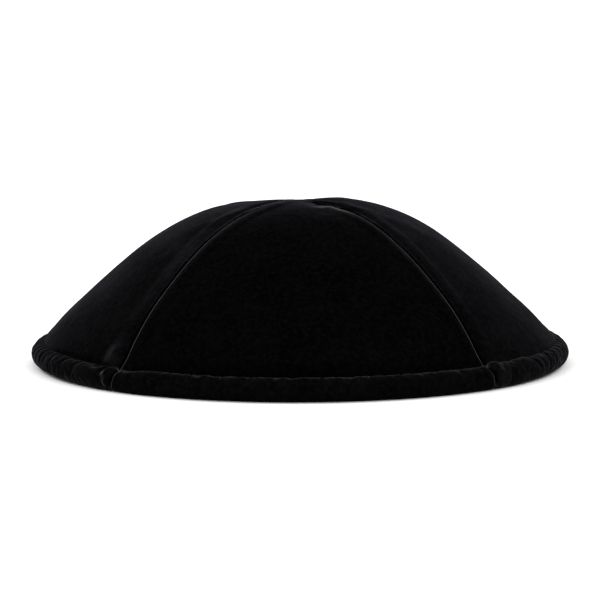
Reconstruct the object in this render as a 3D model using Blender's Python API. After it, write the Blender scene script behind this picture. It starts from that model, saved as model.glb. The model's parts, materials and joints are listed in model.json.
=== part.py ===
"""A skullcap of four velvet panels with a rolled, padded rim.

Metres, +Z up. The rim lies on the plane Z = 0, the crown's axis is Z and the front panel faces -Y.
Four panels meet in a cross of seams. Each one is a wall of velvet, turned under along its seams, and
stands with its foot on the inner shoulder of the rim. The rim is a padded roll in four lengths, which
are joined where the panels' seams run down into it.
"""

import math

import bmesh
import bpy

# The whole cap
RIM_DIAMETER = 0.1800  # across the outside of the roll
CAP_HEIGHT = 0.0556  # from the surface that it lies on to the crossing of the seams
FRONT_SPREAD = math.radians(93)  # of the front panel between its seams; the others share the rest
CROWN_LEAN = 0.0006  # the crown's drift to -X at the height given below
CROWN_TWIST = math.radians(0.6)  # and its turn about Z there
DRIFT_HEIGHT = 0.3  # as a share of the crown's height above its foot

# The cloth and its seams
CLOTH_WALL = 0.0015
TURNED_CLOTH = 0.0010  # the seam allowance, pressed flat inside the wall
SEAM_ALLOWANCE = 0.0060
ALLOWANCE_RIDGE = 0.0003  # how far the allowance lifts the velvet outside
RIDGE_FADE = 0.0012  # half the width over which that ridge sinks back
FOOT_FADE = 0.0100  # the allowance thins out over this distance from the foot
SEAM_GAP = 0.0003  # between pieces that are sewn together
SEAM_GROOVE_DEPTH = 0.0009
SEAM_GROOVE_WIDTH = 0.0011  # from the seam to where the panel is level again
TIP_RADIUS = 0.0007  # the panels' points stop this far from the crossing

# The rolled rim
ROLL_DIAMETER = 0.0080
ROLL_REST_WIDTH = 0.0024  # the roll is pressed flat where it lies
FOOT_CLEARANCE = 0.0003
FOOT_ANGLE_AT_SEAM = math.radians(142)  # round the roll, from its outer side over its top to the panel's foot
FOOT_ANGLE_AT_MIDDLE = math.radians(136)
ROLL_END_ROUND = 0.0016  # each length of roll rounds off over this distance
ROLL_END_DIP = 0.0007
FOLD_SPACING = 0.0062  # of the gathers across the roll
FOLD_LEAN = 0.0022  # how far a gather's top lies from its foot, along the roll

# How finely the curves are cut
STEPS_PER_ROW = 2
MIDDLE_COLUMNS = 7
ROLL_STEPS = 12

# The outer line of a panel down its seam, from the crossing to the foot
# reach: distance from the axis, as a share of the foot's
# rise: height above the foot, as a share of the crossing's
# puff: how far the panel's middle stands out from this line, as a share of the foot's distance
CROWN_ROWS = (
    # reach, rise, puff
    (0.000, 1.000, 0.000),
    (0.060, 1.002, 0.002),
    (0.140, 0.994, 0.004),
    (0.240, 0.967, 0.006),
    (0.360, 0.912, 0.009),
    (0.480, 0.820, 0.012),
    (0.600, 0.694, 0.013),
    (0.720, 0.536, 0.010),
    (0.830, 0.367, 0.011),
    (0.910, 0.205, 0.020),
    (0.965, 0.068, 0.036),
    (1.000, 0.000, 0.000),
)

# Soft swells (lift above 0) and dents (below 0) near the crossing
# turn: degrees about Z from the front
# reach and spread: shares of the foot's distance
# lift: as a share of the crown's height above the foot
SWELLS = (
    # turn, reach, lift, spread
    (180, 0.22, -0.055, 0.17),
    (100, 0.22, 0.008, 0.12),
    (270, 0.20, -0.006, 0.15),
    (47, 0.14, -0.030, 0.08),
)

# name: the way that the side faces, going round from the front to +X
# fold depth: of the gathers across its roll, as a share of the roll's diameter
SIDES = (
    # name, fold depth
    ("front", 0.012),
    ("right", 0.055),
    ("back", 0.035),
    ("left", 0.050),
)

roll_radius = ROLL_DIAMETER / 2
rest_angle = math.asin(ROLL_REST_WIDTH / 2 / roll_radius)
roll_height = roll_radius * math.cos(rest_angle)  # of the roll's centre line
roll_distance = RIM_DIAMETER / 2 - roll_radius  # of the roll's centre line from the axis
foot_radius = roll_radius + FOOT_CLEARANCE
foot_distance = roll_distance + foot_radius * math.cos(FOOT_ANGLE_AT_SEAM)
foot_height = roll_height + foot_radius * math.sin(FOOT_ANGLE_AT_SEAM)
crown_rise = CAP_HEIGHT - foot_height
last_row = len(CROWN_ROWS) - 1


def smooth(share):
    """0 to 1 with no corner at either end."""
    share = min(max(share, 0), 1)
    return share * share * (3 - 2 * share)


def rounded(distance, width):
    """1 at an edge and 0 from width inwards, along a quarter of an ellipse."""
    share = min(max(1 - distance / width, 0), 1)
    return 1 - math.sqrt(1 - share * share)


def curve_through(rows, place):
    """The smooth curve through the rows, at place 0 for the first row, 1 for the next and so on."""
    index = min(int(place), len(rows) - 2)
    t = place - index
    start, end = rows[index], rows[index + 1]
    before = rows[index - 1] if index else start
    after = rows[index + 2] if index + 2 < len(rows) else end
    return [
        b + t * (c - a) / 2 + t * t * (a - 2.5 * b + 2 * c - d / 2) + t**3 * (-a + 3 * b - 3 * c + d) / 2
        for a, b, c, d in zip(before, start, end, after)
    ]


def crown_line(place):
    """Distance from the axis, height and puff on the panel's outer line, in metres."""
    reach, rise, puff = curve_through(CROWN_ROWS, place)
    return reach * foot_distance, foot_height + rise * crown_rise, puff * foot_distance


def crown_normal(place):
    """The direction out of the cloth, as (away from the axis, up)."""
    step = 0.05
    inner = crown_line(max(place - step, 0))
    outer = crown_line(min(place + step, last_row))
    along, down = outer[0] - inner[0], inner[1] - outer[1]
    length = math.hypot(along, down)
    return down / length, along / length


def swell(x, y):
    """How far the crown is lifted over a place by its swells and dents."""
    lift = 0
    for turn, reach, height, spread in SWELLS:
        angle, distance = math.radians(turn), reach * foot_distance
        away = math.hypot(x - distance * math.sin(angle), y + distance * math.cos(angle))
        lift += height * crown_rise * math.exp(-((away / (spread * foot_distance)) ** 2))
    return lift


def crown_point(turn, distance, height):
    """A point at a turn from the front, on the crown as it leans, twists and swells."""
    rise = min(max((height - foot_height) / crown_rise, 0), 1)
    drift = math.sin(math.pi * rise ** (math.log(0.5) / math.log(DRIFT_HEIGHT)))
    angle = turn + CROWN_TWIST * drift
    x, y = distance * math.sin(angle) - CROWN_LEAN * drift, -distance * math.cos(angle)
    return x, y, height + swell(x, y)


def foot_point(turn, angle):
    """A point on the inner shoulder of the roll, where the panel's foot stands."""
    distance = roll_distance + foot_radius * math.cos(angle)
    return distance * math.sin(turn), -distance * math.cos(turn), roll_height + foot_radius * math.sin(angle)


def edge_turn(half_spread, distance):
    """From a piece's middle to its sewn edge, which keeps half the seam's gap to the seam."""
    return half_spread - math.asin(SEAM_GAP / 2 / distance)


def panel_columns(half_width):
    """Distances from the left edge, with more where the cloth turns under, and how squeezed those are."""
    border = SEAM_ALLOWANCE + RIDGE_FADE
    squeeze = min(half_width / (1.6 * border), 1)
    steps = (0, 0.35 * SEAM_GROOVE_WIDTH, SEAM_GROOVE_WIDTH, SEAM_ALLOWANCE - RIDGE_FADE, border)
    left = [squeeze * step for step in steps]
    between = 2 * (half_width - left[-1]) / (MIDDLE_COLUMNS + 1)
    middle = [left[-1] + between * i for i in range(1, MIDDLE_COLUMNS + 1)]
    return left + middle + [2 * half_width - distance for distance in reversed(left)], squeeze


def panel_section(middle, half_spread, place):
    """Points round the panel at one place down it: the outside from left to right, then the inside."""
    distance, height, puff = crown_line(place)
    out, up = crown_normal(place)
    half_width = edge_turn(half_spread, distance) * distance
    columns, squeeze = panel_columns(half_width)
    above_foot = math.hypot(foot_distance - distance, height - foot_height)
    turned_share = smooth(above_foot / FOOT_FADE)
    outside, inside = [], []
    for column in columns:
        from_edge = min(column, 2 * half_width - column)
        across = column / half_width - 1
        turn = middle + across * half_width / distance
        bow = 1 - across * across
        groove = SEAM_GROOVE_DEPTH * rounded(from_edge, squeeze * SEAM_GROOVE_WIDTH)
        if place == last_row:
            angle = FOOT_ANGLE_AT_SEAM + bow * (FOOT_ANGLE_AT_MIDDLE - FOOT_ANGLE_AT_SEAM)
            outside.append(foot_point(turn, angle + groove / foot_radius))
            inside.append(foot_point(turn, angle + CLOTH_WALL / foot_radius))
        else:
            beyond = squeeze * (SEAM_ALLOWANCE + RIDGE_FADE) - from_edge
            turned = turned_share * smooth(beyond / (2 * squeeze * RIDGE_FADE))
            for side, offset in (
                (outside, bow * puff + ALLOWANCE_RIDGE * turned - groove),
                (inside, bow * puff - CLOTH_WALL - TURNED_CLOTH * turned),
            ):
                side.append(crown_point(turn, distance + out * offset, height + up * offset))
    return outside + inside[::-1]


def roll_stations(half_spread):
    """Places along a length of roll, from -1 to 1 at its ends, with the depth of the fold at each."""
    half_length = half_spread * roll_distance
    straight = half_length - ROLL_END_ROUND
    folds = round(2 * straight / FOLD_SPACING)
    ends = ((-1, 0), (-1 + 0.25 * ROLL_END_ROUND / half_length, 0))
    gathered = [
        ((i / folds - 1) * straight / half_length, (i % 2) * (0.7 + 0.3 * math.sin(1.9 * i)))
        for i in range(2 * folds + 1)
    ]
    return [*ends, *gathered, *((-place, fold) for place, fold in reversed(ends))]


def roll_section(middle, half_spread, station, fold_depth):
    """Points round the roll at one station, from its flat foot up its outer side and over."""
    place, fold = station
    from_end = (1 - abs(place)) * half_spread * roll_distance
    dip = 1 - ROLL_END_DIP / roll_radius * rounded(from_end, ROLL_END_ROUND)
    lean = FOLD_LEAN * smooth((from_end - ROLL_END_ROUND) / FOLD_SPACING)
    ring = []
    for i in range(ROLL_STEPS + 1):
        share = i / ROLL_STEPS
        angle = -math.pi / 2 + rest_angle + 2 * (math.pi - rest_angle) * share
        gather = fold * fold_depth * ROLL_DIAMETER * smooth(6 * share) * smooth(6 * (1 - share))
        size = dip * roll_radius - gather
        distance = roll_distance + size * math.cos(angle)
        height = roll_height + size * math.sin(angle)
        turn = middle + place * edge_turn(half_spread, distance) + lean * math.sin(angle) / 2 / distance
        ring.append((distance * math.sin(turn), -distance * math.cos(turn), height))
    return ring


def loft(sections):
    """A closed skin through rings of points."""
    mesh = bmesh.new()
    rings = [[mesh.verts.new(point) for point in section] for section in sections]
    count = len(rings[0])
    for near, far in zip(rings, rings[1:]):
        for i in range(count):
            j = (i + 1) % count
            mesh.faces.new((near[i], near[j], far[j], far[i]))
    return mesh, rings


def panel_skin(middle, half_spread):
    """The panel's skin. Its two ends are strips of quads, because they are thin and curved."""
    tip = next(i / 50 for i in range(1, 50) if crown_line(i / 50)[0] >= TIP_RADIUS)
    steps = range(1, last_row * STEPS_PER_ROW + 1)
    places = [tip, *(i / STEPS_PER_ROW for i in steps if i / STEPS_PER_ROW > tip + 0.2)]
    mesh, rings = loft([panel_section(middle, half_spread, place) for place in places])
    for ring in (rings[0], rings[-1]):
        for i in range(len(ring) // 2 - 1):
            mesh.faces.new((ring[i], ring[i + 1], ring[-i - 2], ring[-i - 1]))
    return mesh


def roll_skin(middle, half_spread, fold_depth):
    """The skin of one length of roll, with its two flat ends."""
    stations = roll_stations(half_spread)
    mesh, rings = loft([roll_section(middle, half_spread, station, fold_depth) for station in stations])
    for ring in (rings[0], rings[-1]):
        mesh.faces.new(ring)
    return mesh


def velvet(name, colour):
    """Black pile, which is matt and lightens only where it is seen along its surface."""
    material = bpy.data.materials.new(name)
    material.use_nodes = True
    shader = material.node_tree.nodes["Principled BSDF"]
    shader.inputs["Base Color"].default_value = (*colour, 1)
    shader.inputs["Roughness"].default_value = 0.95
    shader.inputs["Metallic"].default_value = 0
    shader.inputs["Sheen Weight"].default_value = 0.3
    return material


def add_piece(name, mesh, material, parent):
    bmesh.ops.recalc_face_normals(mesh, faces=mesh.faces)
    data = bpy.data.meshes.new(name)
    mesh.to_mesh(data)
    mesh.free()
    data.materials.append(material)
    data.shade_smooth()
    data.set_sharp_from_angle(angle=math.radians(50))
    piece = bpy.data.objects.new(name, data)
    bpy.context.collection.objects.link(piece)
    piece.parent = parent


def build():
    for old in list(bpy.data.objects):
        bpy.data.objects.remove(old, do_unlink=True)
    cap = bpy.data.objects.new("skullcap", None)
    bpy.context.collection.objects.link(cap)
    panel_velvet = velvet("black velvet, panels", (0.0030, 0.0030, 0.0033))
    rim_velvet = velvet("black velvet, rim", (0.0034, 0.0034, 0.0038))
    other_spread = (2 * math.pi - FRONT_SPREAD) / (len(SIDES) - 1)
    seam = -FRONT_SPREAD / 2
    for name, fold_depth in SIDES:
        half_spread = (FRONT_SPREAD if name == "front" else other_spread) / 2
        middle = seam + half_spread
        add_piece(f"panel_{name}", panel_skin(middle, half_spread), panel_velvet, cap)
        add_piece(f"rim_{name}", roll_skin(middle, half_spread, fold_depth), rim_velvet, cap)
        seam = middle + half_spread


build()
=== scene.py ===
import json
import math

import bpy
import numpy as np
from mathutils import Matrix, Vector, noise

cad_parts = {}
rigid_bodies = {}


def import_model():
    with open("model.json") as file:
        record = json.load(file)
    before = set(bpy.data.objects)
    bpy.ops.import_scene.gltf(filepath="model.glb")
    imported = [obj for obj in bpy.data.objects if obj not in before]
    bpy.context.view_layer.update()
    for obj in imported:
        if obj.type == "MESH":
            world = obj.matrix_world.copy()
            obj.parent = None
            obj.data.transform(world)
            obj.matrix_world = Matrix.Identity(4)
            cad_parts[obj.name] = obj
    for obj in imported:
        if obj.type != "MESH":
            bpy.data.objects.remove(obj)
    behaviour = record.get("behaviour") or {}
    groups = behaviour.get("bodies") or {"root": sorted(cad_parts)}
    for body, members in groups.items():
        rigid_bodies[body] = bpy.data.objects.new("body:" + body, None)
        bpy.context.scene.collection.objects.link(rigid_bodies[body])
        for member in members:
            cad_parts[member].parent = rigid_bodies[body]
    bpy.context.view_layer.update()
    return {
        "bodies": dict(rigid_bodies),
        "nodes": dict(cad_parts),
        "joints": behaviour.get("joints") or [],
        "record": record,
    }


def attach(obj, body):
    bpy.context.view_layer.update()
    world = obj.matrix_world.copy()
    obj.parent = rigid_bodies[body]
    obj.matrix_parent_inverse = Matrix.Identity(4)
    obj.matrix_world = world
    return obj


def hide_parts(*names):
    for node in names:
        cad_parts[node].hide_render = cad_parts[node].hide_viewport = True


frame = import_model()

# Black velvet skullcap: four panels and a padded, rolled rim in four lengths.
# Metres and +Z up, as in the frame. Turns go round from the front (-Y) to +X.

# Camera: set back a long way, a little above the rim, turned a hair to the left.
view = {
    "distance": 2.16,
    "azimuth": -0.85,  # degrees
    "elevation": 8.23,
    "roll": -0.17,
    "lens": 386.4,
    "sensor": 36,
    "rimHeight": 0.0038,  # what the distance is measured to
    "lookAbove": 0.01742,  # the frame's middle lies this far above it, across the view
}


def placeCamera():
    azimuth, elevation = math.radians(view["azimuth"]), math.radians(view["elevation"])
    sideways, ahead = math.sin(azimuth), math.cos(azimuth)
    level, steep = math.cos(elevation), math.sin(elevation)
    back = Vector((sideways * level, -ahead * level, steep))
    up = Vector((-sideways * steep, ahead * steep, level))
    rim = Vector((0, 0, view["rimHeight"]))
    bpy.ops.object.camera_add(location=rim + back * view["distance"])
    camera = bpy.context.object
    camera.name = "camera"
    towards = rim + up * view["lookAbove"] - camera.location
    turned = towards.to_track_quat("-Z", "Y").to_matrix().to_4x4()
    turned = turned @ Matrix.Rotation(math.radians(view["roll"]), 4, "Z")
    camera.matrix_world = Matrix.Translation(camera.location) @ turned
    camera.data.lens = view["lens"]
    camera.data.sensor_width = view["sensor"]
    bpy.context.scene.camera = camera


placeCamera()
print("camera placed")


# The cap's main sizes, as the solids have them
cap = {
    "rimAcross": 0.1800,
    "height": 0.0556,
    "frontSpread": 93,  # degrees between the front panel's seams
    "lean": 0.0006,  # the crown's drift to -X, strongest low down
    "twist": 0.6,  # degrees
    "driftHeight": 0.3,
    "rollAcross": 0.0080,
    "rollRestWidth": 0.0024,
    "footClearance": 0.0002,
    "solidClearance": 0.0003,
    "footAngleAtSeam": 142,
    "sideLift": 0.0003,  # the rim rises a little off the table at both sides, and is slimmer there
    "sideSlim": 0.0003,
    "liftFrom": 45,  # degrees
    "liftOver": 28,
    "slopeStep": 0.05,  # rows to either side, for reading the crown's slope
}

# Down a panel's seam: reach from the axis, rise above the foot, and the puff of the panel's middle
crownRows = [
    (0.000, 1.000, 0.000),
    (0.060, 1.002, 0.002),
    (0.140, 0.994, 0.004),
    (0.240, 0.967, 0.006),
    (0.360, 0.912, 0.009),
    (0.480, 0.820, 0.012),
    (0.600, 0.694, 0.013),
    (0.720, 0.536, 0.010),
    (0.830, 0.367, 0.011),
    (0.910, 0.205, 0.020),
    (0.965, 0.068, 0.036),
    (1.000, 0.000, 0.000),
]

# Soft swells and dents of the whole crown: turn, reach, lift, spread
crownSwells = [
    (180, 0.22, -0.055, 0.17),
    (100, 0.22, 0.008, 0.12),
    (270, 0.20, -0.006, 0.15),
    (47, 0.14, -0.030, 0.08),
]

rollRadius = cap["rollAcross"] / 2
restAngle = math.asin(cap["rollRestWidth"] / 2 / rollRadius)
rollHeight = rollRadius * math.cos(restAngle)
rollDistance = cap["rimAcross"] / 2 - rollRadius
footRadius = rollRadius + cap["footClearance"]
seamFoot = math.radians(cap["footAngleAtSeam"])
solidFoot = rollRadius + cap["solidClearance"]  # the crown's line ends on the solids' own foot
footDistance = rollDistance + solidFoot * math.cos(seamFoot)
footHeight = rollHeight + solidFoot * math.sin(seamFoot)
crownRise = cap["height"] - footHeight
lastRow = len(crownRows) - 1
frontSpread = math.radians(cap["frontSpread"])
otherSpread = (2 * math.pi - frontSpread) / 3

# For each panel and its length of rim: the middle turn, the half spread, where the panel's middle stands
# round the roll, how much less it puffs just above that foot, and how strong the painted sheen of both is
sides = {
    "Front": {
        "node": "front", "middle": 0.0, "half": frontSpread / 2,
        "foot": math.radians(136), "flatter": 0.0, "across": 0.0, "rimAcross": 0.0,
    },
    "Right": {
        "node": "right", "middle": (frontSpread + otherSpread) / 2, "half": otherSpread / 2,
        "foot": math.radians(98), "flatter": 0.62, "across": 1.0, "rimAcross": 0.8,
    },
    "Back": {
        "node": "back", "middle": math.pi, "half": otherSpread / 2,
        "foot": math.radians(132), "flatter": 0.0, "across": 0.0, "rimAcross": 0.2,
    },
    "Left": {
        "node": "left", "middle": -(frontSpread + otherSpread) / 2, "half": otherSpread / 2,
        "foot": math.radians(98), "flatter": 0.62, "across": 0.9, "rimAcross": 0.4,
    },
}


def smooth(share):
    share = np.clip(share, 0, 1)
    return share * share * (3 - 2 * share)


def turnFrom(centre, turn):
    # From a centre to a turn, the short way round
    return (turn - centre + math.pi) % (2 * math.pi) - math.pi


def curveThrough(rows, place):
    # A smooth curve through the rows, 0 at the first and 1 at the next
    rows, place = np.array(rows, float), np.asarray(place, float)
    index = np.clip(place.astype(int), 0, len(rows) - 2)
    t = (place - index)[..., None]
    start, end = rows[index], rows[index + 1]
    before, after = rows[np.maximum(index - 1, 0)], rows[np.minimum(index + 2, len(rows) - 1)]
    return (start + t * (end - before) / 2 + t**2 * (before - 2.5 * start + 2 * end - after / 2)
            + t**3 * (-before + 3 * start - 3 * end + after) / 2)


def crownLine(place):
    row = curveThrough(crownRows, place)
    return row[..., 0] * footDistance, footHeight + row[..., 1] * crownRise, row[..., 2] * footDistance


def crownOut(place):
    # Out of the cloth, as away from the axis and up
    step = cap["slopeStep"]
    inner, outer = crownLine(np.maximum(place - step, 0)), crownLine(np.minimum(place + step, lastRow))
    along, down = outer[0] - inner[0], inner[1] - outer[1]
    length = np.hypot(along, down)
    return down / length, along / length


def swell(x, y):
    lift = 0
    for turn, reach, height, spread in crownSwells:
        angle, distance = math.radians(turn), reach * footDistance
        away = np.hypot(x - distance * math.sin(angle), y + distance * math.cos(angle))
        lift = lift + height * crownRise * np.exp(-((away / (spread * footDistance)) ** 2))
    return lift


def crownPoint(turn, distance, height):
    rise = np.clip((height - footHeight) / crownRise, 0, 1)
    drift = np.sin(math.pi * rise ** (math.log(0.5) / math.log(cap["driftHeight"])))
    angle = turn + math.radians(cap["twist"]) * drift
    x = distance * np.sin(angle) - cap["lean"] * drift
    y = -distance * np.cos(angle)
    return np.stack([x, y, height + swell(x, y)], -1)


def rimAside(turn):
    aside = np.abs((np.degrees(turn) + 90) % 180 - 90)  # from the front or back
    return smooth((aside - cap["liftFrom"]) / cap["liftOver"])


def rollPoint(turn, angle, radius):
    # A point round the roll's centre line, at an angle from its outer side over its top
    aside = rimAside(turn)
    slim = cap["sideSlim"] * aside
    distance = rollDistance + slim + (radius - slim) * np.cos(angle)
    height = rollHeight + cap["sideLift"] * aside + (radius - slim) * np.sin(angle)
    return np.stack([distance * np.sin(turn), -distance * np.cos(turn), height], -1)


def footAngle(side, across):
    # Where a panel's foot stands round the roll, from seam to seam
    return seamFoot + (1 - across * across) * (side["foot"] - seamFoot)


def activate(piece):
    if bpy.context.object and bpy.context.object.mode != "OBJECT":
        bpy.ops.object.mode_set(mode="OBJECT")
    bpy.ops.object.select_all(action="DESELECT")
    piece.select_set(True)
    bpy.context.view_layer.objects.active = piece


def applyModifier(piece, kind, **settings):
    activate(piece)
    bpy.ops.object.modifier_add(type=kind)
    modifier = piece.modifiers[-1]
    for key, value in settings.items():
        setattr(modifier, key, value)
    bpy.ops.object.modifier_apply(modifier=modifier.name)


def readPoints(piece):
    points = np.empty(len(piece.data.vertices) * 3)
    piece.data.vertices.foreach_get("co", points)
    return points.reshape(-1, 3)


def writePoints(piece, points):
    piece.data.vertices.foreach_set("co", np.asarray(points, float).ravel())
    piece.data.update()


def softNoise(points, size):
    # Even, seedless noise from -1 to 1 at each point
    flat = points.reshape(-1, 3) / size
    return np.array([noise.noise(Vector(p)) for p in flat]).reshape(points.shape[:-1])


# Materials
def linear(code):
    # sRGB hex to the linear colour that the shader takes
    parts = [int(code[i:i + 2], 16) / 255 for i in (1, 3, 5)]
    return (*(c / 12.92 if c <= 0.04045 else ((c + 0.055) / 1.055) ** 2.4 for c in parts), 1)


def addNode(tree, kind, settings=None, links=None):
    node = tree.nodes.new("ShaderNode" + kind)
    for key, value in (settings or {}).items():
        if key in node.inputs and not hasattr(node, key):
            node.inputs[key].default_value = value
        else:
            setattr(node, key, value)
    for key, output in (links or {}).items():
        tree.links.new(output, node.inputs[key])
    return node


def joinValues(tree, operation, first, second):
    node = addNode(tree, "Math", {"operation": operation})
    tree.links.new(first, node.inputs[0])
    tree.links.new(second, node.inputs[1])
    return node.outputs["Value"]


def mixColours(tree, share, under, code):
    # From one colour output towards a plain colour, by a share
    node = addNode(tree, "Mix", {"data_type": "RGBA"})
    tree.links.new(share, node.inputs["Factor"])
    tree.links.new(under, node.inputs[6])
    node.inputs[7].default_value = linear(code)
    return node.outputs[2]


def mapRange(tree, value, fromMin, fromMax, toMin, toMax):
    limits = {"From Min": fromMin, "From Max": fromMax, "To Min": toMin, "To Max": toMax}
    return addNode(tree, "MapRange", limits, {"Value": value}).outputs["Result"]


def writeShare(piece, name, shares):
    # One number per point, for the velvet to read
    layer = piece.data.attributes.new(name, "FLOAT", "POINT")
    layer.data.foreach_set("value", np.asarray(shares, float))


def velvet(name, look):
    # Black rayon velvet, woven and left with its pile up: it swallows light seen face on,
    # and a cool painted sheen in its colour lightens it where the pile is seen from the side.
    material = bpy.data.materials.new(name)
    material.use_nodes = True
    tree = material.node_tree
    shader = tree.nodes["Principled BSDF"]
    where = {"Vector": addNode(tree, "TexCoord").outputs["Object"]}
    napNoise = {"Scale": 1 / look["napSize"], "Detail": 3.0, "Roughness": 0.6}
    fleckNoise = {"Scale": 1 / look["fleckSize"], "Detail": 3.0, "Roughness": 0.75}
    nap = addNode(tree, "TexNoise", napNoise, where).outputs["Fac"]
    fleck = addNode(tree, "TexNoise", fleckNoise, where).outputs["Fac"]
    pile = addNode(tree, "TexNoise", {"Scale": 1 / look["pileSize"], "Detail": 1.0}, where).outputs["Fac"]

    # The dyed ground: darker where the pile has been brushed, with a fleck of lighter tips
    napTone = addNode(tree, "ValToRGB", None, {"Fac": nap})
    for stop, place, tone in zip(napTone.color_ramp.elements, look["napStops"], ("dark", "mid")):
        stop.position = place
        stop.color = linear(look[tone])
    tips = mapRange(tree, fleck, *look["tipStops"], 0, look["fleckShare"])
    ground = mixColours(tree, tips, napTone.outputs["Color"], look["light"])

    # The bump: brushed patches, flecks and the pile's own grain
    normal = None
    for depth, height in (("napDepth", nap), ("fleckDepth", fleck), ("pileDepth", pile)):
        links = {"Height": height, "Normal": normal} if normal else {"Height": height}
        normal = addNode(tree, "Bump", {"Strength": 1.0, "Distance": look[depth]}, links).outputs["Normal"]
    tree.links.new(normal, shader.inputs["Normal"])

    # Painted sheen: the colour is painted lighter where the pile is seen from the side, and sooner where the
    # painted sheen share is high
    facing = addNode(tree, "LayerWeight", {"Blend": 0.5}, {"Normal": normal}).outputs["Facing"]
    across = addNode(tree, "Attribute", {"attribute_name": "paintedSheenShare"}).outputs["Fac"]
    foldPaint = addNode(tree, "Attribute", {"attribute_name": "paintedLineAndShade"}).outputs["Fac"]
    edge = mapRange(tree, facing, look["edgeFrom"], 1, 0, 1)
    sideSheen = mapRange(tree, facing, *look["sideSheenStops"], 0, look["sideSheenPaint"])
    patch = mapRange(tree, nap, *look["noiseStops"], 1 - look["patchy"], 1 + look["patchy"])
    grain = mapRange(tree, fleck, *look["noiseStops"], 1 - look["grainy"], 1 + look["grainy"])
    sideSheen = joinValues(tree, "MULTIPLY", sideSheen, across)
    edge = joinValues(tree, "MULTIPLY", edge, edge)
    bloom = joinValues(tree, "ADD", sideSheen, edge)
    bloom = joinValues(tree, "MULTIPLY", bloom, patch)
    bloom = joinValues(tree, "MULTIPLY", bloom, grain)
    bloomed = mixColours(tree, bloom, ground, look["bloom"])

    # Folded edges: a thin painted highlight where the fold turns away, and painted shade where it
    # faces on
    paintedFoldLight = mapRange(tree, facing, *look["foldPaintStops"], 0, 1)
    paintedFoldLight = joinValues(tree, "MULTIPLY", paintedFoldLight, foldPaint)
    paintedFoldLight = joinValues(tree, "MULTIPLY", paintedFoldLight, grain)
    paintedGrooveShade = mapRange(tree, facing, *look["foldPaintStops"], look["foldPaintedShade"], 0)
    paintedGrooveShade = joinValues(tree, "MULTIPLY", paintedGrooveShade, foldPaint)
    foldPainted = mixColours(tree, paintedGrooveShade, mixColours(tree, paintedFoldLight, bloomed, look["open"]), "#000000")
    tree.links.new(foldPainted, shader.inputs["Base Color"])

    matt = mapRange(tree, fleck, 0, 1, look["leastRough"], 1)
    tree.links.new(matt, shader.inputs["Roughness"])
    shader.inputs["Metallic"].default_value = 0
    shader.inputs["Specular IOR Level"].default_value = look["specular"]
    shader.inputs["Sheen Weight"].default_value = look["sheen"]
    shader.inputs["Sheen Roughness"].default_value = look["sheenRoughness"]
    shader.inputs["Sheen Tint"].default_value = linear(look["sheenTint"])
    return material


panelLook = {
    "dark": "#010101", "mid": "#030303", "light": "#0A0A0A",
    "napSize": 0.014,  # where the pile has been brushed one way or the other
    "fleckSize": 0.0016,
    "pileSize": 0.0005,  # the real pile is 0.2 mm, drawn coarser so that it shows
    "fleckShare": 0.6,
    "napStops": (0.32, 0.72), "tipStops": (0.42, 0.7), "noiseStops": (0.3, 0.7),
    "napDepth": 0.0004, "fleckDepth": 0.00014, "pileDepth": 0.00007,
    # Painted sheen: its colour, the facing where it starts, and how much the painted sheen share adds
    "bloom": "#212125", "edgeFrom": 0.56, "sideSheenPaint": 0.05, "sideSheenStops": (0.08, 0.42),
    "patchy": 0.45, "grainy": 0.3,
    # The painted highlight colour along the folds, the facings where it and the painted shade change over,
    # and how dark that painted shade is
    "open": "#464649", "foldPaintStops": (0.30, 0.75), "foldPaintedShade": 0.8,
    "specular": 0.0, "sheen": 0.010, "sheenRoughness": 0.38, "sheenTint": "#F0F0FF", "leastRough": 0.88,
}
# The rim's copy of the velvet is painted lighter, standing in for the light it gets; its painted sheen is
# lighter and starts sooner
rimLook = dict(panelLook, dark="#020202", mid="#060606", light="#0D0D0D", napSize=0.009)
rimLook.update(bloom="#2A2A2E", edgeFrom=0.5, grainy=0.4)
backLook = dict(panelLook, dark="#050505", mid="#080808", light="#101011", sheen=0.02, specular=0.1)

panelVelvet = velvet("black velvet, pile side, panels", panelLook)
rimVelvet = velvet("black velvet, pile side, rim", rimLook)
velvetBack = velvet("black velvet, woven back", backLook)
print("materials made")


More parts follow.
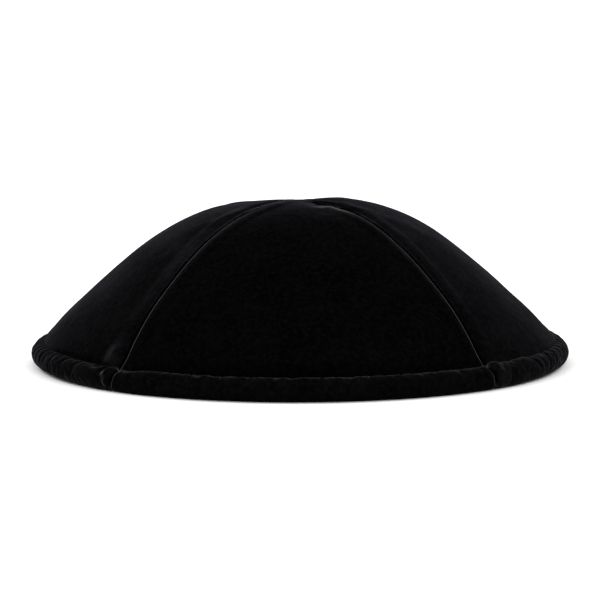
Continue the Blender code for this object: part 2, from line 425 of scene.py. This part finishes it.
# The four panels: each one is a cut sheet, folded under along its seams
panelCloth = {
    "columns": 71,  # over the face, between the two folds
    "foldColumns": 14,
    "turnedColumns": 7,
    "rows": 170,
    "hemRows": 14,
    "thickness": 0.0010,
    "foldShoulder": 0.0014,  # radius of the fold's first part, beside the face
    "foldEdge": 0.00030,  # and of the rest
    "shoulderTurn": 44,  # degrees
    "foldThinness": 0.38,  # the cloth is pressed thin in the fold, as a share of its thickness
    "foldFade": 0.0016,
    "foldPaintShare": 0.75,  # how strong the painted highlight and shade along a fold are
    "layerGap": 0.0001,  # between the cloth and its turned edge
    "turned": 0.0060,
    "seamGap": 0.00008,  # between two panels that are sewn together
    "ridge": 0.0004,  # the turned edge shows through as a low ridge
    "ridgeRise": 0.0022,
    "ridgeFade": 0.0014,
    "ridgeFoot": 0.020,  # it dies out over this height above the foot
    "hem": 0.0045,  # the foot goes on down the inner side of the roll
    "tip": 0.0004,  # the panels' points stop this far from the axis
    "wave": 0.00016,
    "waveSize": 0.021,
    "ripple": 0.00003,
    "rippleSize": 0.0045,
    "liftFade": 0.6,  # rows above the foot over which waves and forms die out
    "flatterFrom": 8.5,  # the rows over which the side panels puff less
    "flatterOver": 1.5,
    "footRows": 3,  # the last rows bend over to the foot's own place
    "footPasses": 2,
    "narrowFrom": 1.6,  # towards the tip the turned edge and ridge shrink, from this many times their reach
    "smallFrom": 0.003,  # and so does the fold, from this half width
    "turnedLeast": 1.2,
    "crowding": 1.7,  # the face's columns crowd towards the folds
    "shoulderPaintOver": 0.25,  # radians of the shoulder over which the fold's painted highlight and shade fade out
    "tipClosed": 0.15,  # rows at the tip without the fold's painted highlight and shade, and the ones where they begin
    "tipOpens": 0.4,
    "paintedSpotsDepth": 0.0007,  # painted spots stay on the outer face
    "slopeRows": 0.01,
    "slopeAcross": 0.004,
    "smoothAngle": 50,  # degrees
}

# Soft forms on one panel: turn, place down the panel, lift, and its spread across and down, in mm
panelForms = {
    "Front": [
        (33, 2.75, 0.18, 3.6, 1.4),
        (41, 3.1, -0.25, 2.2, 3.0),
        (44, 1.9, -0.45, 2.4, 3.0),
        (19, 3.30, -0.22, 2.0, 2.4),
        (0, 8.0, -0.15, 16, 10),
    ],
    "Right": [
        (54, 2.0, 0.60, 3.0, 4.0), (51, 3.3, 0.60, 2.6, 4.5), (49.5, 4.6, 0.30, 2.2, 5.0),
        (66, 2.6, 0.22, 2.0, 3.0), (60.5, 3.6, 0.26, 2.4, 4.0), (63, 4.5, 0.28, 2.6, 5.0),
        (69, 5.1, 0.26, 3.0, 5.0), (75, 5.7, 0.20, 3.5, 5.0),
        (88, 6.2, -0.28, 16, 9),
        (90, 9.0, 0.10, 20, 5),
        (76, 1.8, 0.10, 5, 5),
    ],
    "Back": [
        (180, 6.0, 0.20, 18, 12),
    ],
    "Left": [
        (-51, 3.5, 0.32, 2.2, 4.0), (-56, 4.2, 0.38, 2.4, 4.5), (-62, 4.8, 0.34, 3.0, 5.0),
        (-67, 5.4, 0.22, 3.5, 6.0),
        (-90, 6.7, 0.15, 16, 8),
        (-110, 2.6, -0.55, 9, 8),
        (-50.6, 9.9, 0.55, 2.4, 3.8),
        (-57.5, 9.9, -0.20, 2.4, 4.0),
    ],
}

# Painted highlight and shade spots; negative shares take the fold's painted line and shade away: turn, place,
# share, and its spread across and down, in mm
panelPaintedSpots = {
    "Front": [
        (41.5, 2.9, 1.0, 2.6, 5.5), (33, 2.72, 0.9, 3.4, 1.1), (23, 2.6, 0.5, 2.6, 1.0),
        (14, 1.9, 0.3, 2.5, 0.8),
    ],
    "Right": [(47.5, 1.5, -1.0, 1.7, 4.5), (47.2, 3.1, -0.9, 1.5, 5.5)],
    "Back": [],
    "Left": [(-51.8, 9.9, 0.5, 1.2, 3.0)],
}

# Where the painted sheen is stronger or weaker; negative shares take it away, leaving a darker band: the same
# columns
panelPaintedSheen = {
    "Front": [(0, 8.5, 0.15, 20, 8), (0, 2.6, 0.9, 14, 8)],
    "Right": [
        (66, 4.2, 2.2, 9, 9), (62, 5.6, 1.4, 8, 8), (95, 8.0, 0.5, 14, 8), (58, 8.0, 1.0, 9, 17),
        (66, 9.4, 0.9, 10, 7),
        (54, 1.9, -14.0, 1.8, 4.0), (50.4, 2.8, -12.0, 1.2, 4.0),
        (72, 2.3, 5.0, 1.6, 4.5), (64, 3.6, 4.0, 1.4, 5.5),
    ],
    "Back": [],
    "Left": [
        (-84, 4.8, 3.2, 13, 9), (-66, 5.9, 2.6, 9, 9), (-49.5, 6.4, 4.2, 3.2, 17), (-95, 9.0, -0.4, 16, 6),
        (-66, 9.6, 0.6, 12, 7),
        (-51.7, 10.1, 5.0, 1.5, 3.2), (-49.2, 10.3, 10.0, 2.2, 3.0), (-49.8, 9.5, 5.0, 2.4, 3.0),
        (-54, 10.8, -6.0, 7, 0.9), (-66, 10.8, -6.0, 9, 0.9),
    ],
}

# One long run of even lengths down the seam, for spacing rows and forms
fineDown = np.linspace(0, lastRow, 4000)
fineDistance, fineHeight, _ = crownLine(fineDown)
fineLength = np.concatenate([[0], np.cumsum(np.hypot(np.diff(fineDistance), np.diff(fineHeight)))])
seamLength = fineLength[-1]


def edgeWidth(half, distance):
    return (half - np.arcsin(np.minimum(panelCloth["seamGap"] / 2 / distance, 1))) * distance


def panelLevel(side, place, across):
    # The level of the pile, with across from -1 to 1 between the seams. A place past the last row goes
    # down the roll.
    down = np.minimum(place, lastRow)
    distance, height, puff = crownLine(down)
    out, up = crownOut(down)
    flatter = side["flatter"] * smooth((down - panelCloth["flatterFrom"]) / panelCloth["flatterOver"])
    puff = puff * (1 - flatter)
    turn = side["middle"] + across * edgeWidth(side["half"], distance) / distance
    bow = 1 - across * across
    crown = crownPoint(turn, distance + out * bow * puff, height + up * bow * puff)
    toFoot = smooth((down - lastRow + panelCloth["footRows"]) / panelCloth["footRows"])[..., None]
    foot = rollPoint(turn, footAngle(side, across), footRadius)
    crown = crown + (foot - crownPoint(turn, footDistance, footHeight)) * toFoot
    hem = np.maximum(place - lastRow, 0)
    hemmed = rollPoint(turn, footAngle(side, across) + hem * panelCloth["hem"] / footRadius, footRadius)
    return np.where((place > lastRow)[..., None], hemmed, crown)


def panelSpread(forms, turn, place):
    # The sum of soft forms on a panel
    total = np.zeros_like(turn)
    down = np.interp(place, fineDown, fineLength) * 1000
    distance = np.interp(place, fineDown, fineDistance) * 1000
    for formTurn, formPlace, height, spreadAcross, spreadDown in forms:
        aside = turnFrom(math.radians(formTurn), turn) * distance
        below = down - np.interp(formPlace, fineDown, fineLength) * 1000
        total = total + height * np.exp(-((aside / spreadAcross) ** 2) - (below / spreadDown) ** 2)
    return total


def panelSection(half, place):
    # From cut edge to cut edge: share across (-1 to 1), depth under the level, how thick the cloth is left,
    # and how strong the fold's painted highlight and shade are
    distance = crownLine(np.minimum(place, lastRow))[0]
    width = edgeWidth(half, distance)
    reach = panelCloth["turned"] + panelCloth["ridgeFade"]
    squeeze = min(width / (panelCloth["narrowFrom"] * reach), 1)
    small = min(width / panelCloth["smallFrom"], 1)
    shoulder, edge = panelCloth["foldShoulder"] * small, panelCloth["foldEdge"] * small
    shoulderTurn = math.radians(panelCloth["shoulderTurn"])
    foldEnd = edge * (1 - math.sin(shoulderTurn)) + shoulder * math.sin(shoulderTurn)
    foldDepth = shoulder * (1 - math.cos(shoulderTurn)) + edge * math.cos(shoulderTurn)
    turned = max(panelCloth["turned"] * squeeze, foldEnd * panelCloth["turnedLeast"])
    fade = panelCloth["foldFade"] * squeeze
    under = 2 * panelCloth["thickness"] + panelCloth["layerGap"]
    aboveFoot = (lastRow - place) / lastRow * seamLength
    ridgeShare = squeeze * smooth(aboveFoot / panelCloth["ridgeFoot"]) if place < lastRow else 0
    path = []
    n = panelCloth["turnedColumns"]
    for i in range(n):
        fromEdge = turned + (edge - turned) * i / n
        body = float(smooth((fromEdge - edge) / fade))
        path.append((fromEdge, -(foldDepth + edge) - (under - foldDepth - edge) * body, body, 0.0))
    foldPaint = panelCloth["foldPaintShare"]
    n = panelCloth["foldColumns"] // 2
    for i in range(n):
        bend = math.pi - (math.pi - shoulderTurn) * i / n
        path.append((edge * (1 - math.sin(bend)), edge * math.cos(bend) - foldDepth, 0.0, foldPaint))
    for i in range(n):
        bend = shoulderTurn * (1 - i / n)
        shoulderPaint = foldPaint * float(smooth(bend / panelCloth["shoulderPaintOver"]))
        path.append((foldEnd - shoulder * math.sin(bend), shoulder * (math.cos(bend) - 1), 0.0, shoulderPaint))
    n = panelCloth["columns"] // 2
    for i in range(n + 1):
        fromEdge = foldEnd + (width - foldEnd) * (i / n) ** panelCloth["crowding"]
        ridge = ridgeShare * panelCloth["ridge"] * float(
            smooth((squeeze * reach - fromEdge) / (2 * squeeze * panelCloth["ridgeFade"]))
            * smooth((fromEdge - foldEnd) / (squeeze * panelCloth["ridgeRise"])))
        path.append((fromEdge, ridge, float(smooth((fromEdge - foldEnd) / fade)), 0.0))
    left = [(-1 + fromEdge / width, *rest) for fromEdge, *rest in path]
    return left + [(-share, *rest) for share, *rest in reversed(left[:-1])]


def makePanel(name, side):
    start = np.interp(panelCloth["tip"], fineDistance, fineLength)
    places = np.interp(np.linspace(start, seamLength, panelCloth["rows"]), fineLength, fineDown)
    places = np.concatenate([places, lastRow + np.linspace(0, 1, panelCloth["hemRows"])[1:]])
    sections = np.array([panelSection(side["half"], place) for place in places])
    across, depth, body, foldPaint = (sections[..., i] for i in range(4))
    place = np.repeat(places[:, None], across.shape[1], 1)
    level = panelLevel(side, place, across)
    below = panelLevel(side, np.minimum(place + panelCloth["slopeRows"], places[-1]), across)
    above = panelLevel(side, np.maximum(place - panelCloth["slopeRows"], places[0]), across)
    aside = panelLevel(side, place, across + panelCloth["slopeAcross"])
    aside = aside - panelLevel(side, place, across - panelCloth["slopeAcross"])
    out = np.cross(below - above, aside)
    for _ in range(panelCloth["footPasses"]):  # the foot turns down into the seam over a few rows
        out[1:-1] = (out[:-2] + 2 * out[1:-1] + out[2:]) / 4
    out /= np.linalg.norm(out, axis=-1, keepdims=True)
    turn = side["middle"] + across * side["half"]
    onFace = np.minimum(place, lastRow)
    lift = panelSpread(panelForms[name], turn, onFace) / 1000
    lift = lift + panelCloth["wave"] * softNoise(level, panelCloth["waveSize"])
    lift = lift + panelCloth["ripple"] * softNoise(level, panelCloth["rippleSize"])
    lift = lift * smooth((lastRow - place) / panelCloth["liftFade"])
    points = level + out * (depth + lift)[..., None]
    rows, columns = across.shape
    bpy.ops.object.select_all(action="DESELECT")
    bpy.ops.mesh.primitive_grid_add(x_subdivisions=columns - 1, y_subdivisions=rows - 1, size=1)
    piece = bpy.context.object
    piece.name = piece.data.name = "panel" + name
    flat = readPoints(piece)
    column = np.rint((flat[:, 0] + 0.5) * (columns - 1)).astype(int)
    row = np.rint((0.5 - flat[:, 1]) * (rows - 1)).astype(int)
    writePoints(piece, points[row, column])
    full = piece.vertex_groups.new(name="full cloth")
    for index, share in enumerate(body[row, column]):
        full.add([index], float(share), "REPLACE")
    # The fold's painted highlight and shade, and the painted spots
    foldPaint = foldPaint * smooth((place - panelCloth["tipClosed"]) / panelCloth["tipOpens"])
    paintedSpots = panelSpread(panelPaintedSpots[name], turn, onFace) * (depth > -panelCloth["paintedSpotsDepth"])
    writeShare(piece, "paintedLineAndShade", np.minimum(foldPaint + paintedSpots, 1)[row, column])
    # How strong the painted sheen is on this panel
    sheenShare = side["across"] + panelSpread(panelPaintedSheen[name], turn, onFace)
    writeShare(piece, "paintedSheenShare", sheenShare[row, column])
    piece.data.materials.append(panelVelvet)
    piece.data.materials.append(velvetBack)
    applyModifier(piece, "SOLIDIFY", thickness=panelCloth["thickness"], offset=-1,
                  material_offset=1, material_offset_rim=1,
                  vertex_group="full cloth", thickness_vertex_group=panelCloth["foldThinness"])
    bpy.ops.object.shade_smooth_by_angle(angle=math.radians(panelCloth["smoothAngle"]))
    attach(piece, "root")
    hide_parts("panel_" + side["node"])


# The padded rim: four lengths of velvet roll, gathered across
roll = {
    "around": 56,
    "along": 260,
    "endRings": 8,
    "flatRings": 3,
    "endRound": 0.0015,
    "endDip": 0.0013,
    "gap": 0.00012,  # between two lengths
    "joinFade": 0.016,  # the slant of a front join dies out over this length
    "endPaint": 0.0004,  # a painted highlight and shade line runs over an end's edge
    "endPaintFade": 0.0006,
    "foldPaintShare": 0.75,
    "hemBefore": 9,  # degrees: a panel lies against the roll from here, just before its foot
    "hemTo": 215,
    "hemFade": 8,
    "hemRoom": 0.00006,
    "hemLoose": 0.0004,
    "seamAngle": 186,  # where the roll's own seam runs, inside
    "seamDepth": 0.00035,
    "seamWidth": 0.0005,
    "seamSharpness": 1.5,
    "bareFrom": 0.0004,  # gathers, seam and crinkle begin this far from an end
    "bareOver": 0.002,
    "formsOver": 0.0006,  # and single forms within this length
    "joinStep": 40,  # degrees round the roll between two values of joinShift
    "smoothAngle": 60,
    "fill": 0.9,
    "lump": 0.00013,
    "lumpSize": 0.011,
    "crinkle": 0.00006,
    "crinkleSize": 0.0026,
}

# How far the front joins lie from the panels' seams, in degrees, at even steps round the roll from its
# underside
joinShift = [(v,) for v in (0.8, 1.2, 2.0, 2.4, 2.7, 1.8, 0.4, 0.2, 0.4, 0.8)]

# How a gather runs across the roll
gather = {
    "at": 60,  # degrees round the roll, where a gather's turn is given
    "leanOver": 90,
    "rise": 50,  # degrees over which it grows from its lower end
    "innerEnd": 235,
    "innerFade": 40,
    "sharpness": 1.6,
    "crest": 0.28,  # the velvet swells beside a gather, as a share of its depth
    "crestAt": 2.2,  # in half widths
    "crestWidth": 1.2,
}

# Gathers across the roll that the photograph shows: turn, depth, half width and lean in mm, and the angle
# where they die out
rollFolds = {
    "Front": [],
    "Right": [
        (50.5, 0.12, 1.0, 1.0, 20), (55.0, 0.16, 1.0, 2.0, 15), (59.9, 0.42, 0.8, -3.2, -12),
        (63.4, 0.30, 0.7, 0.5, 0), (67.3, 0.50, 0.8, 3.6, -18), (71.5, 0.50, 0.8, 4.0, -25),
        (74.9, 0.36, 0.7, 3.0, -10), (78.5, 0.50, 0.8, 3.0, -30), (82.2, 0.38, 0.7, 2.0, -25),
        (85.6, 0.48, 0.8, 1.0, -30), (89.4, 0.44, 0.8, 0.0, -25),
    ],
    "Back": [],
    "Left": [
        (-47.7, 0.50, 0.9, 3.0, 5), (-51.8, 0.34, 0.8, 6.5, 30), (-57.4, 0.16, 1.0, 4.0, 25),
        (-62.6, 0.20, 0.9, 2.6, 20), (-68.2, 0.36, 0.8, 0.8, 15), (-72.4, 0.30, 0.7, -1.5, 0),
        (-75.9, 0.44, 0.8, -2.6, -20), (-79.4, 0.40, 0.7, -2.0, -20), (-82.9, 0.50, 0.8, -1.0, -30),
        (-86.3, 0.40, 0.7, 0.0, -25), (-89.9, 0.46, 0.8, 0.0, -25),
    ],
}

# And the ones it doesn't show: from turn to turn, spacing, then as above
gatherRuns = {
    "Front": [(-43.0, 43.0, 8.5, 0.07, 1.6, 0.8, -30)],
    "Right": [(93.5, 132.0, 5.3, 0.40, 0.8, 0.5, -20)],
    "Back": [(-224.0, -138.0, 5.6, 0.30, 0.9, 0.6, -10)],
    "Left": [(-132.0, -93.5, 5.2, 0.40, 0.8, -0.5, -20)],
}

# Single dimples and puckers: turn, angle round the roll, lift, spread along and round, in mm
rollForms = {
    "Front": [
        (-26, 50, -0.22, 1.6, 1.2), (-22, 40, -0.20, 1.2, 1.8), (-23.6, 60, 0.16, 1.0, 1.0),
        (0.5, 30, -0.26, 1.2, 2.2), (3.0, 45, -0.18, 1.5, 1.4), (1.8, 25, 0.16, 0.8, 1.8),
        (21.5, 22, -0.20, 1.6, 1.6), (38, 30, 0.14, 2.2, 2.0), (-39, 35, -0.12, 2.0, 2.0),
        (10, 5, -0.12, 3.0, 1.6), (-11, 12, 0.12, 3.0, 1.6),
        (-41.5, 92, -0.85, 5.5, 3.2), (45.8, 88, 1.40, 2.3, 3.0),
    ],
    "Right": [
        (48.5, 40, 0.18, 1.6, 2.4), (50.0, 5, -0.14, 1.6, 2.0), (46.4, 88, 1.20, 2.2, 3.0),
        (49.8, 88, 0.60, 2.8, 3.0), (56.0, 90, 0.70, 4.6, 3.0),
    ],
    "Back": [],
    "Left": [
        (-46.4, 50, 0.34, 1.6, 2.0), (-46.2, -12, 0.36, 0.9, 1.1), (-47.6, 2, -0.22, 1.2, 1.6),
        (-67.0, 85, 0.50, 9.0, 3.0),
    ],
}

# Where its painted sheen is stronger or weaker; negative shares take it away, leaving a darker band: the same
# columns
rollPaintedSheen = {
    "Front": [],
    "Right": [],
    "Back": [],
    "Left": [(-54, 104, -9.0, 10, 1.4), (-68, 104, -9.0, 10, 1.4)],
}

# Painted highlight and shade spots on the roll; negative shares take the painted line and shade away: turn,
# angle, share, spread along and round, in mm
rollPaintedSpots = {
    "Front": [(-23.4, 62, 0.5, 0.9, 0.8), (1.8, 28, 0.35, 0.7, 1.6), (-45.3, 108, -1.0, 1.8, 2.4)],
    "Right": [(47.0, 40, 0.35, 1.2, 2.0)],
    "Back": [],
    "Left": [
        (-47.4, 36, 1.0, 0.8, 1.2), (-46.2, -10, 1.0, 0.8, 1.1), (-51.4, 62, 0.5, 1.6, 0.7),
        (-67.8, 66, 0.5, 0.8, 1.4), (-45.8, 102, -1.0, 1.8, 2.6),
    ],
}


def rollSpread(forms, turn, angle):
    # The sum of soft forms on a roll
    total = np.zeros_like(turn)
    for formTurn, formAngle, height, along, around in forms:
        aside = turnFrom(math.radians(formTurn), turn) * rollDistance * 1000
        over = turnFrom(math.radians(formAngle), angle) * rollRadius * 1000
        total += height * np.exp(-((aside / along) ** 2) - (over / around) ** 2)
    return total


def rollFoldList(name):
    folds = list(rollFolds[name])
    for index, (first, last, spacing, depth, width, lean, lowest) in enumerate(gatherRuns[name]):
        count = max(round(abs(last - first) * math.pi / 180 * rollDistance * 1000 / spacing), 1)
        for i in range(count + 1):  # each one differs a little, by sines that don't fall in step
            centre = first + (last - first) * (i + 0.3 * math.sin(12.9 * i + 7.3 * index)) / count
            deep = depth * (0.75 + 0.35 * math.sin(5.1 * i + 2.0 * index))
            wide = width * (1 + 0.3 * math.sin(3.7 * i + index))
            slant = lean * (1 + 0.5 * math.sin(8.3 * i))
            low = lowest + 22 * math.sin(4.1 * i + index)
            folds.append((centre, deep, wide, slant, low))
    return folds


def rollOffset(name, turn, angle, fromEnd):
    # How far the gathers and dimples move the roll's skin, in metres
    degrees, bare = np.degrees(angle), smooth((fromEnd - roll["bareFrom"]) / roll["bareOver"])
    offset = rollSpread(rollForms[name], turn, angle) / 1000 * smooth(fromEnd / roll["formsOver"])
    for foldTurn, depth, width, lean, lowest in rollFoldList(name):
        aside = turnFrom(math.radians(foldTurn), turn) * rollDistance * 1000
        aside = aside - lean * (degrees - gather["at"]) / gather["leanOver"]
        length = bare * smooth((degrees - lowest) / gather["rise"])
        length = length * smooth((gather["innerEnd"] - degrees) / gather["innerFade"])
        valley = np.exp(-(np.abs(aside / width) ** gather["sharpness"]))
        crest = np.exp(-(((np.abs(aside) - gather["crestAt"] * width) / (gather["crestWidth"] * width)) ** 2))
        offset += depth / 1000 * length * (gather["crest"] * crest - valley)
    fromSeam = ((degrees - roll["seamAngle"] + 180) % 360 - 180) * math.pi / 180 * rollRadius
    seam = np.exp(-(np.abs(fromSeam / roll["seamWidth"]) ** roll["seamSharpness"]))
    offset -= bare * roll["seamDepth"] * seam
    level = rollPoint(turn, angle, rollRadius)
    lumps = roll["lump"] * softNoise(level, roll["lumpSize"])
    crinkles = bare * roll["crinkle"] * softNoise(level, roll["crinkleSize"])
    return offset + lumps + crinkles


# The filling presses the velvet out between its gathers, and the velvet is cut a little too long for the roll
stuffing = {
    "scale": 20,  # the solver runs at this many times the real size
    "frames": 20,
    "quality": 4,
    "pressure": 4,
    "spare": 0.04,  # as a share of its length
    "tight": 0.00015,  # the roll starts this much slimmer
    "reach": 0.00022,  # and no point moves further than this
    "under": -55,  # degrees: the underside stays put, and so do the side by the panel and the ends
    "underFade": 30,
    "hemFade": 12,
    "end": 0.001,
    "endFade": 0.004,
}


def pressOut(piece, free):
    # Cloth with pressure inside, moved only as far as each point is free
    start = readPoints(piece)
    writePoints(piece, start * stuffing["scale"])
    held = piece.vertex_groups.new(name="held")
    for index, share in enumerate(free):
        held.add([index], 1 - float(share), "REPLACE")
    activate(piece)
    bpy.ops.object.modifier_add(type="CLOTH")
    cloth = piece.modifiers[-1]
    cloth.settings.quality = stuffing["quality"]
    cloth.settings.use_pressure = True
    cloth.settings.uniform_pressure_force = stuffing["pressure"]
    cloth.settings.shrink_min = -stuffing["spare"]
    cloth.settings.vertex_group_mass = held.name
    cloth.settings.effector_weights.gravity = 0
    cloth.point_cache.frame_start, cloth.point_cache.frame_end = 1, stuffing["frames"]
    for frame in range(1, stuffing["frames"] + 1):
        bpy.context.scene.frame_set(frame)
    bpy.ops.object.modifier_apply(modifier=cloth.name)
    bpy.context.scene.frame_set(1)
    moved = readPoints(piece) / stuffing["scale"] - start
    length = np.maximum(np.linalg.norm(moved, axis=1), 1e-9)
    moved *= (free * stuffing["reach"] * np.tanh(length / stuffing["reach"]) / length)[:, None]
    writePoints(piece, start + moved)
    piece.vertex_groups.clear()


def makeRoll(name, side):
    bpy.ops.object.select_all(action="DESELECT")
    bpy.ops.mesh.primitive_uv_sphere_add(segments=roll["around"], ring_count=roll["along"], radius=1)
    piece = bpy.context.object
    piece.name = piece.data.name = "rimRoll" + name
    ball = readPoints(piece)
    count, half = roll["along"], side["half"]
    ring = np.rint(np.arccos(np.clip(ball[:, 2], -1, 1)) / math.pi * count).astype(int)
    angle = (np.arctan2(ball[:, 1], ball[:, 0]) + math.pi / 2) % (2 * math.pi) - math.pi / 2
    halfLength = half * rollDistance
    flat, ends = roll["flatRings"], roll["flatRings"] + roll["endRings"]
    fromEnd, size = np.zeros(count + 1), np.ones(count + 1)
    for i in range(count // 2 + 1):
        if i <= flat:
            size[i] = i / flat
        else:
            bend = min((i - flat) / roll["endRings"], 1) * math.pi / 2
            fromEnd[i] = roll["endRound"] * (1 - math.cos(bend))
        if i > ends:
            fromEnd[i] = roll["endRound"] + (halfLength - roll["endRound"]) * (i - ends) / (count / 2 - ends)
    fromEnd[count // 2 + 1:], size[count // 2 + 1:] = fromEnd[:count // 2][::-1], size[:count // 2][::-1]
    rounding = 1 - np.minimum(fromEnd / roll["endRound"], 1)
    dip = roll["endDip"] * (1 - np.sqrt(1 - rounding**2))
    station = np.where(np.arange(count + 1) <= count / 2, 1, -1) * (1 - fromEnd / halfLength)
    station, size, dip, fromEnd = station[ring], size[ring], dip[ring], fromEnd[ring]
    turn = side["middle"] + station * (half - roll["gap"] / 2 / rollDistance)
    shift = np.radians(curveThrough(joinShift, (np.degrees(angle) + 90) / roll["joinStep"])[..., 0])
    for join, way in ((-frontSpread / 2, 1), (frontSpread / 2, -1)):
        away = turnFrom(join, turn) * rollDistance
        turn = turn + way * shift * smooth(1 - np.abs(away) / roll["joinFade"])
    offset = rollOffset(name, turn, angle, fromEnd)
    degrees = np.degrees(angle)
    footAt = np.degrees(footAngle(side, station))
    byHem = smooth((degrees - footAt + roll["hemBefore"]) / roll["hemFade"])
    byHem = byHem * smooth((roll["hemTo"] - degrees) / roll["hemFade"])
    offset = np.where(byHem > 0, np.minimum(offset, roll["hemRoom"] + (1 - byHem) * roll["hemLoose"]), offset)
    free = smooth((degrees - stuffing["under"]) / stuffing["underFade"])
    free = free * smooth((footAt - roll["hemBefore"] - degrees) / stuffing["hemFade"])
    free = free * smooth((fromEnd - stuffing["end"]) / stuffing["endFade"])
    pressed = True
    if pressed:
        offset = offset - stuffing["tight"] * free
    slim = cap["sideSlim"] * rimAside(turn)
    points = rollPoint(turn, angle, (rollRadius - slim - dip + offset) * size + slim)
    floorAt = (cap["sideLift"] + cap["sideSlim"]) * rimAside(turn)
    points[:, 2] = np.maximum(points[:, 2], floorAt)
    writePoints(piece, points)
    bpy.ops.object.mode_set(mode="EDIT")
    bpy.ops.mesh.select_all(action="SELECT")
    bpy.ops.mesh.normals_make_consistent(inside=False)
    bpy.ops.object.mode_set(mode="OBJECT")
    if pressed:
        pressOut(piece, free)
    # Painted highlight and shade along the ends, and the painted spots
    byEnd = 1 - smooth((fromEnd - roll["endPaint"]) / roll["endPaintFade"])
    foldPaint = roll["foldPaintShare"] * byEnd + rollSpread(rollPaintedSpots[name], turn, angle)
    writeShare(piece, "paintedLineAndShade", np.minimum(foldPaint, 1))
    # How strong the painted sheen is on this length of roll
    writeShare(piece, "paintedSheenShare", side["rimAcross"] + rollSpread(rollPaintedSheen[name], turn, angle))
    piece.data.materials.append(rimVelvet)
    bpy.ops.object.shade_smooth_by_angle(angle=math.radians(roll["smoothAngle"]))
    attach(piece, "root")
    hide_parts("rim_" + side["node"])
    print("rimRoll" + name, "made,", len(piece.data.polygons), "faces")


for name, side in sides.items():
    makeRoll(name, side)
    makePanel(name, side)

# Studio: a white room, a pale floor and soft lights above and to both sides
studio = {
    "floorSize": 8.0,
    "paper": "#F4F4F4",
    "paperRoughness": 0.9,
    "paperSpecular": 0.1,
    "roomLight": 1.06,
    "aimHeight": 0.02,
}

# Name, place, size and power
studioLights = [
    ("top light", (0, -0.2, 2.0), 2.2, 2),
    ("left light", (-1.7, 0.5, 1.7), 1.3, 26),
    ("right light", (1.7, 0.5, 1.7), 1.3, 26),
]


def makeStudio():
    world = bpy.data.worlds.new("white room")
    world.use_nodes = True
    world.node_tree.nodes["Background"].inputs["Color"].default_value = (1, 1, 1, 1)
    world.node_tree.nodes["Background"].inputs["Strength"].default_value = studio["roomLight"]
    bpy.context.scene.world = world
    bpy.ops.object.select_all(action="DESELECT")
    bpy.ops.mesh.primitive_plane_add(size=studio["floorSize"])
    floor = bpy.context.object
    floor.name = "floor"
    paper = bpy.data.materials.new("white backdrop paper")
    paper.use_nodes = True
    shader = paper.node_tree.nodes["Principled BSDF"]
    shader.inputs["Base Color"].default_value = linear(studio["paper"])
    shader.inputs["Roughness"].default_value = studio["paperRoughness"]
    shader.inputs["Specular IOR Level"].default_value = studio["paperSpecular"]
    floor.data.materials.append(paper)
    for name, place, size, power in studioLights:
        bpy.ops.object.light_add(type="AREA", location=place)
        light = bpy.context.object
        light.name = name
        light.data.size = size
        light.data.energy = power
        light.rotation_mode = "QUATERNION"
        towards = Vector((0, 0, studio["aimHeight"])) - Vector(place)
        light.rotation_quaternion = towards.to_track_quat("-Z", "Y")
    bpy.context.scene.view_settings.view_transform = "Standard"


makeStudio()
print("studio lit")
